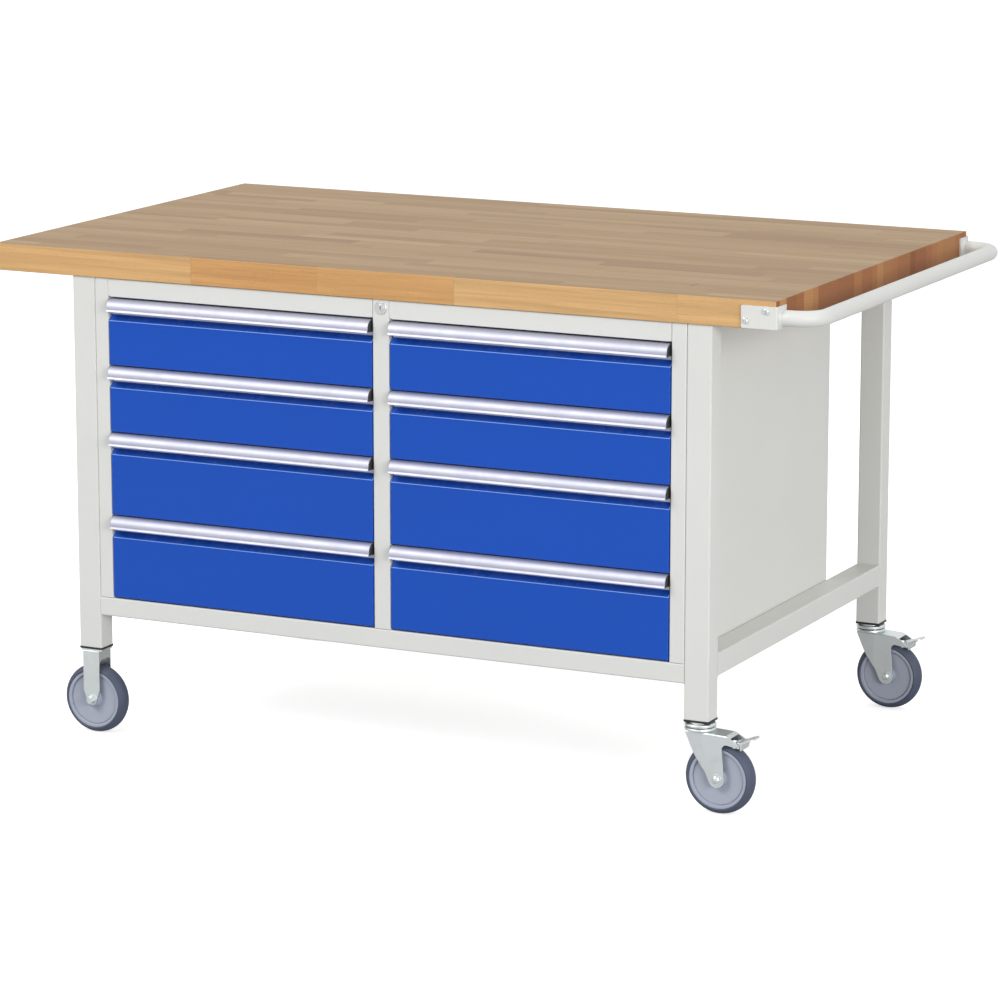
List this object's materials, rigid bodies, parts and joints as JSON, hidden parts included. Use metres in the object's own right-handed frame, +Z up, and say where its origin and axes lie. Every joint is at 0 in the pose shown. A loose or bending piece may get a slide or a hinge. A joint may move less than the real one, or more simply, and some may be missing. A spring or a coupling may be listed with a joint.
{
  "type": "workbench with drawers",
  "caption": "Mobile workbench with a solid wood top on a steel tube frame, lockable drawers below, a push handle at one end and fixed and braked swivel casters.",
  "frame": {"origin": "on the floor, under the middle of the whole outline, push handle included", "axes": "+Z up, drawers open towards -Y, +X towards the push handle at the end of the worktop"},
  "size_m": [1.5774, 0.9176, 0.88],
  "materials": {
    "beech": "oiled glued beech staves",
    "frame_paint": "light grey powder coat",
    "drawer_paint": "blue powder coat",
    "tray_paint": "grey powder coat",
    "grip_aluminium": "satin anodised",
    "zinc_steel": "bright zinc plated",
    "lock_metal": "nickel plated",
    "wheel_plastic": "moulded grey plastic",
    "tyre": "non-marking blue-grey rubber",
    "black_plastic": "moulded black plastic"
  },
  "bodies": {
    "bench": {"worktop": "beech", "front_legs": "frame_paint", "rear_legs": "frame_paint", "front_rail": "frame_paint", "side_rails": "frame_paint", "rear_rail": "frame_paint", "leg_plugs": "black_plastic", "cabinet_side_left": "frame_paint", "cabinet_side_right": "frame_paint", "cabinet_divider": "frame_paint", "cabinet_back": "frame_paint", "cabinet_floor": "frame_paint", "cabinet_top_rails": "frame_paint", "cabinet_runners": "zinc_steel", "lock_housing": "lock_metal", "push_handle": "frame_paint", "handle_screws": "zinc_steel", "swivel_caster_heads": "zinc_steel", "fixed_caster_forks": "zinc_steel", "fixed_caster_axles": "zinc_steel"},
    "lock_cylinder": {"lock_cylinder": "lock_metal"},
    "lock_bar": {"lock_bar": "zinc_steel"},
    "left_drawer_1": {"left_drawer_1_front": "drawer_paint", "left_drawer_1_tray": "tray_paint", "left_drawer_1_grip": "grip_aluminium"},
    "left_drawer_2": {"left_drawer_2_front": "drawer_paint", "left_drawer_2_tray": "tray_paint", "left_drawer_2_grip": "grip_aluminium"},
    "left_drawer_3": {"left_drawer_3_front": "drawer_paint", "left_drawer_3_tray": "tray_paint", "left_drawer_3_grip": "grip_aluminium"},
    "left_drawer_4": {"left_drawer_4_front": "drawer_paint", "left_drawer_4_tray": "tray_paint", "left_drawer_4_grip": "grip_aluminium"},
    "right_drawer_1": {"right_drawer_1_front": "drawer_paint", "right_drawer_1_tray": "tray_paint", "right_drawer_1_grip": "grip_aluminium"},
    "right_drawer_2": {"right_drawer_2_front": "drawer_paint", "right_drawer_2_tray": "tray_paint", "right_drawer_2_grip": "grip_aluminium"},
    "right_drawer_3": {"right_drawer_3_front": "drawer_paint", "right_drawer_3_tray": "tray_paint", "right_drawer_3_grip": "grip_aluminium"},
    "right_drawer_4": {"right_drawer_4_front": "drawer_paint", "right_drawer_4_tray": "tray_paint", "right_drawer_4_grip": "grip_aluminium"},
    "swivel_fork_front": {"swivel_fork_front": "zinc_steel", "swivel_axle_front": "zinc_steel"},
    "brake_pedal_front": {"brake_pedal_front": "zinc_steel"},
    "fixed_wheel_front": {"fixed_wheel_hub_front": "wheel_plastic", "fixed_wheel_tyre_front": "tyre"},
    "swivel_wheel_front": {"swivel_wheel_hub_front": "wheel_plastic", "swivel_wheel_tyre_front": "tyre"},
    "swivel_fork_rear": {"swivel_fork_rear": "zinc_steel", "swivel_axle_rear": "zinc_steel"},
    "brake_pedal_rear": {"brake_pedal_rear": "zinc_steel"},
    "fixed_wheel_rear": {"fixed_wheel_hub_rear": "wheel_plastic", "fixed_wheel_tyre_rear": "tyre"},
    "swivel_wheel_rear": {"swivel_wheel_hub_rear": "wheel_plastic", "swivel_wheel_tyre_rear": "tyre"}
  },
  "joints": [
    {"name": "lock_turn", "type": "hinge", "parent": "bench", "child": "lock_cylinder", "pos_m": [-0.01675, -0.44375, 0.817], "axis": [0, 1, 0], "range_deg": [0, 90]},
    {"name": "lock_bar_lift", "type": "slide", "parent": "bench", "child": "lock_bar", "axis": [0, 0, 1], "range_m": [0, 0.01]},
    {"name": "left_drawer_1_slide", "type": "slide", "parent": "bench", "child": "left_drawer_1", "axis": [0, -1, 0], "range_m": [0, 0.4]},
    {"name": "left_drawer_2_slide", "type": "slide", "parent": "bench", "child": "left_drawer_2", "axis": [0, -1, 0], "range_m": [0, 0.4]},
    {"name": "left_drawer_3_slide", "type": "slide", "parent": "bench", "child": "left_drawer_3", "axis": [0, -1, 0], "range_m": [0, 0.4]},
    {"name": "left_drawer_4_slide", "type": "slide", "parent": "bench", "child": "left_drawer_4", "axis": [0, -1, 0], "range_m": [0, 0.4]},
    {"name": "right_drawer_1_slide", "type": "slide", "parent": "bench", "child": "right_drawer_1", "axis": [0, -1, 0], "range_m": [0, 0.4]},
    {"name": "right_drawer_2_slide", "type": "slide", "parent": "bench", "child": "right_drawer_2", "axis": [0, -1, 0], "range_m": [0, 0.4]},
    {"name": "right_drawer_3_slide", "type": "slide", "parent": "bench", "child": "right_drawer_3", "axis": [0, -1, 0], "range_m": [0, 0.4]},
    {"name": "right_drawer_4_slide", "type": "slide", "parent": "bench", "child": "right_drawer_4", "axis": [0, -1, 0], "range_m": [0, 0.4]},
    {"name": "front_caster_swivel", "type": "hinge", "parent": "bench", "child": "swivel_fork_front", "pos_m": [0.57425, -0.42375, 0.147], "axis": [0, 0, 1], "continuous": true},
    {"name": "front_brake_press", "type": "hinge", "parent": "swivel_fork_front", "child": "brake_pedal_front", "pos_m": [0.64525, -0.42375, 0.1246], "axis": [0, 1, 0], "range_deg": [0, 18]},
    {"name": "fixed_wheel_front_spin", "type": "hinge", "parent": "bench", "child": "fixed_wheel_front", "pos_m": [-0.60775, -0.42375, 0.0625], "axis": [0, 1, 0], "continuous": true},
    {"name": "swivel_wheel_front_spin", "type": "hinge", "parent": "swivel_fork_front", "child": "swivel_wheel_front", "pos_m": [0.61225, -0.42375, 0.0625], "axis": [0, 1, 0], "continuous": true},
    {"name": "rear_caster_swivel", "type": "hinge", "parent": "bench", "child": "swivel_fork_rear", "pos_m": [0.57425, 0.36425, 0.147], "axis": [0, 0, 1], "continuous": true},
    {"name": "rear_brake_press", "type": "hinge", "parent": "swivel_fork_rear", "child": "brake_pedal_rear", "pos_m": [0.64525, 0.36425, 0.1246], "axis": [0, 1, 0], "range_deg": [0, 18]},
    {"name": "fixed_wheel_rear_spin", "type": "hinge", "parent": "bench", "child": "fixed_wheel_rear", "pos_m": [-0.60775, 0.36425, 0.0625], "axis": [0, 1, 0], "continuous": true},
    {"name": "swivel_wheel_rear_spin", "type": "hinge", "parent": "swivel_fork_rear", "child": "swivel_wheel_rear", "pos_m": [0.61225, 0.36425, 0.0625], "axis": [0, 1, 0], "continuous": true}
  ],
  "couplings": [
    {"joint": "lock_turn", "follows": "lock_bar_lift", "rad_per_m": 157}
  ]
}
